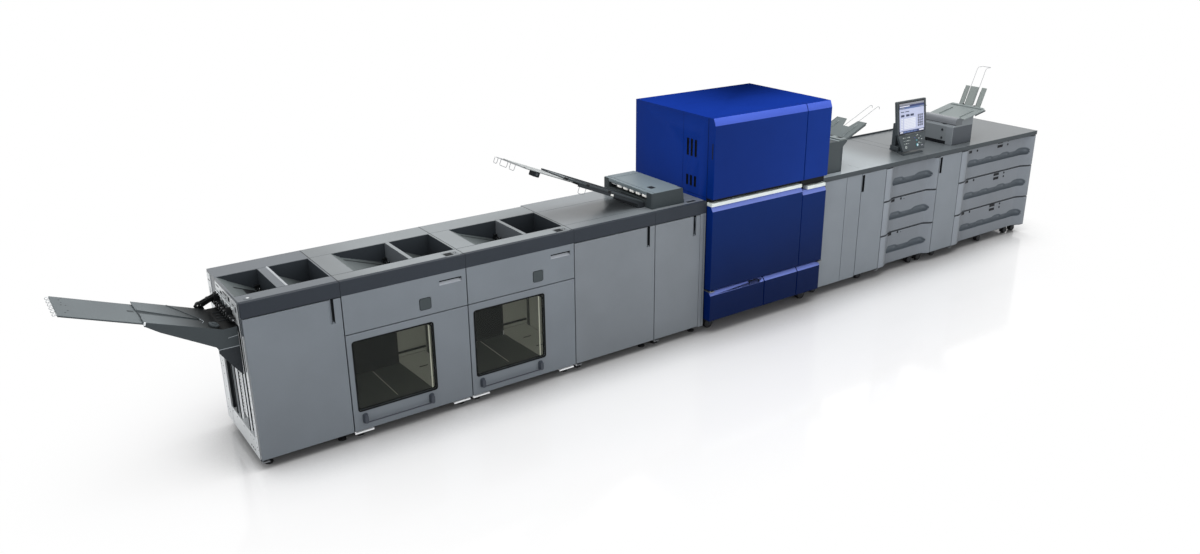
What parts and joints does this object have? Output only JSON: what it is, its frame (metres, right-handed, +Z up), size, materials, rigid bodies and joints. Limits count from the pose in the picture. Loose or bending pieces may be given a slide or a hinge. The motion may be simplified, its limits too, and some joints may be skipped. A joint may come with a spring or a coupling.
{
  "type": "digital production printer line",
  "caption": "Digital production printer line: blue print engine, grey paper feeders with drawers, two window stackers and a finisher with lift tray.",
  "frame": {"origin": "centre of the whole line's box at floor level", "axes": "+X along the line from the finisher to the feeders, +Y to the rear, -Y to the operator, +Z up"},
  "size_m": [8.155, 0.922, 1.616],
  "materials": {
    "cabinet_grey": "satin powder coat",
    "feeder_grey": "satin powder coat",
    "top_grey": "satin powder coat",
    "worktop_pale": "satin",
    "dark_band": "fine textured",
    "frame_metal": "zinc plated",
    "rail_white": "satin",
    "tray_grey": "fine textured",
    "tray_pale": "fine textured",
    "black_plastic": "matte",
    "wire": "bright",
    "engine_blue": "satin",
    "silver_trim": "satin anodised",
    "tinted_glass": "polished",
    "stacker_inside": "satin",
    "hinge_steel": "plain",
    "roller_white": "smooth",
    "panel_dark": "fine textured",
    "wheel_black": "smooth"
  },
  "bodies": {
    "root": {"finisher_body": "cabinet_grey", "finisher_side_frame": "frame_metal", "finisher_lift_rails": "rail_white", "finisher_top": "top_grey", "finisher_exit_lever": "black_plastic", "front_bands": "dark_band", "bin_ramps": "tray_grey", "door_hinges": "hinge_steel", "stacker_1_body": "stacker_inside", "stacker_2_body": "stacker_inside", "stacker_tops": "top_grey", "stacker_upper_panels": "cabinet_grey", "stacker_lifts": "stacker_inside", "relay_body": "cabinet_grey", "exit_body": "cabinet_grey", "output_unit": "tray_pale", "output_rollers": "roller_white", "output_tray": "tray_grey", "output_tray_extension": "tray_pale", "engine_body": "engine_blue", "engine_upper_doors": "engine_blue", "engine_grip_channel": "black_plastic", "engine_base_covers": "engine_blue", "bridge_body": "feeder_grey", "feeder_a_body": "feeder_grey", "feeder_b_body": "feeder_grey", "worktop": "worktop_pale", "bypass_stand": "tray_pale", "bypass_tray": "tray_pale", "panel_stand": "panel_dark", "top_feeder": "tray_pale", "top_feeder_tray": "tray_pale", "tray_wires": "wire", "feet": "black_plastic", "casters": "wheel_black"},
    "finisher_door": {"finisher_door": "cabinet_grey"},
    "lift_tray": {"finisher_tray": "tray_grey"},
    "tray_extension": {"finisher_tray_extension": "tray_pale", "finisher_tray_loops": "wire"},
    "stacker_1_door": {"stacker_1_door": "cabinet_grey", "stacker_1_window": "tinted_glass", "stacker_1_pull": "black_plastic"},
    "stacker_2_door": {"stacker_2_door": "cabinet_grey", "stacker_2_window": "tinted_glass", "stacker_2_pull": "black_plastic"},
    "relay_door": {"relay_door": "cabinet_grey"},
    "exit_door": {"exit_door": "cabinet_grey"},
    "engine_lower_door": {"engine_lower_door": "engine_blue", "engine_lower_strip": "silver_trim"},
    "engine_side_door": {"engine_side_door": "engine_blue", "engine_side_strip": "silver_trim"},
    "bridge_door": {"bridge_door": "feeder_grey"},
    "feeder_a_drawer_1": {"feeder_a_drawer_1": "feeder_grey"},
    "feeder_a_drawer_2": {"feeder_a_drawer_2": "feeder_grey"},
    "feeder_a_drawer_3": {"feeder_a_drawer_3": "feeder_grey"},
    "feeder_b_drawer_1": {"feeder_b_drawer_1": "feeder_grey"},
    "feeder_b_drawer_2": {"feeder_b_drawer_2": "feeder_grey"},
    "feeder_b_drawer_3": {"feeder_b_drawer_3": "feeder_grey"},
    "feeder_a_door": {"feeder_a_door": "feeder_grey"},
    "control_panel": {"control_panel": "panel_dark"}
  },
  "joints": [
    {"name": "finisher_door_hinge", "type": "hinge", "parent": "root", "child": "finisher_door", "pos_m": [-3.22447, -0.394, 0.062], "axis": [0, 0, -1], "range_deg": [0, 100]},
    {"name": "stacker_1_door_hinge", "type": "hinge", "parent": "root", "child": "stacker_1_door", "pos_m": [-2.67847, -0.394, 0.062], "axis": [0, 0, -1], "range_deg": [0, 100]},
    {"name": "stacker_2_door_hinge", "type": "hinge", "parent": "root", "child": "stacker_2_door", "pos_m": [-1.89347, -0.394, 0.062], "axis": [0, 0, -1], "range_deg": [0, 100]},
    {"name": "relay_door_hinge", "type": "hinge", "parent": "root", "child": "relay_door", "pos_m": [-1.10847, -0.394, 0.062], "axis": [0, 0, -1], "range_deg": [0, 100]},
    {"name": "exit_door_hinge", "type": "hinge", "parent": "root", "child": "exit_door", "pos_m": [-0.44147, -0.394, 0.062], "axis": [0, 0, -1], "range_deg": [0, 100]},
    {"name": "engine_lower_door_hinge", "type": "hinge", "parent": "root", "child": "engine_lower_door", "pos_m": [0.01853, -0.459, 0.35], "axis": [0, 0, -1], "range_deg": [0, 100]},
    {"name": "engine_side_door_hinge", "type": "hinge", "parent": "root", "child": "engine_side_door", "pos_m": [1.17453, -0.459, 0.35], "axis": [0, 0, 1], "range_deg": [0, 90]},
    {"name": "bridge_door_hinge", "type": "hinge", "parent": "root", "child": "bridge_door", "pos_m": [1.95553, -0.394, 0.083], "axis": [0, 0, 1], "range_deg": [0, 90]},
    {"name": "feeder_a_door_hinge", "type": "hinge", "parent": "root", "child": "feeder_a_door", "pos_m": [2.95353, -0.394, 0.083], "axis": [0, 0, 1], "range_deg": [0, 90]},
    {"name": "feeder_a_drawer_1_slide", "type": "slide", "parent": "root", "child": "feeder_a_drawer_1", "axis": [0, -1, 0], "range_m": [0, 0.48]},
    {"name": "feeder_a_drawer_2_slide", "type": "slide", "parent": "root", "child": "feeder_a_drawer_2", "axis": [0, -1, 0], "range_m": [0, 0.48]},
    {"name": "feeder_a_drawer_3_slide", "type": "slide", "parent": "root", "child": "feeder_a_drawer_3", "axis": [0, -1, 0], "range_m": [0, 0.48]},
    {"name": "feeder_b_drawer_1_slide", "type": "slide", "parent": "root", "child": "feeder_b_drawer_1", "axis": [0, -1, 0], "range_m": [0, 0.48]},
    {"name": "feeder_b_drawer_2_slide", "type": "slide", "parent": "root", "child": "feeder_b_drawer_2", "axis": [0, -1, 0], "range_m": [0, 0.48]},
    {"name": "feeder_b_drawer_3_slide", "type": "slide", "parent": "root", "child": "feeder_b_drawer_3", "axis": [0, -1, 0], "range_m": [0, 0.48]},
    {"name": "lift_tray_slide", "type": "slide", "parent": "root", "child": "lift_tray", "axis": [0, 0, -1], "range_m": [0, 0.4]},
    {"name": "tray_extension_slide", "type": "slide", "parent": "lift_tray", "child": "tray_extension", "axis": [0.9379, 0, -0.3469], "range_m": [0, 0.28]},
    {"name": "panel_tilt", "type": "hinge", "parent": "root", "child": "control_panel", "pos_m": [2.41153, -0.19, 1.1973], "axis": [-1, 0, 0], "range_deg": [0, 20]}
  ]
}
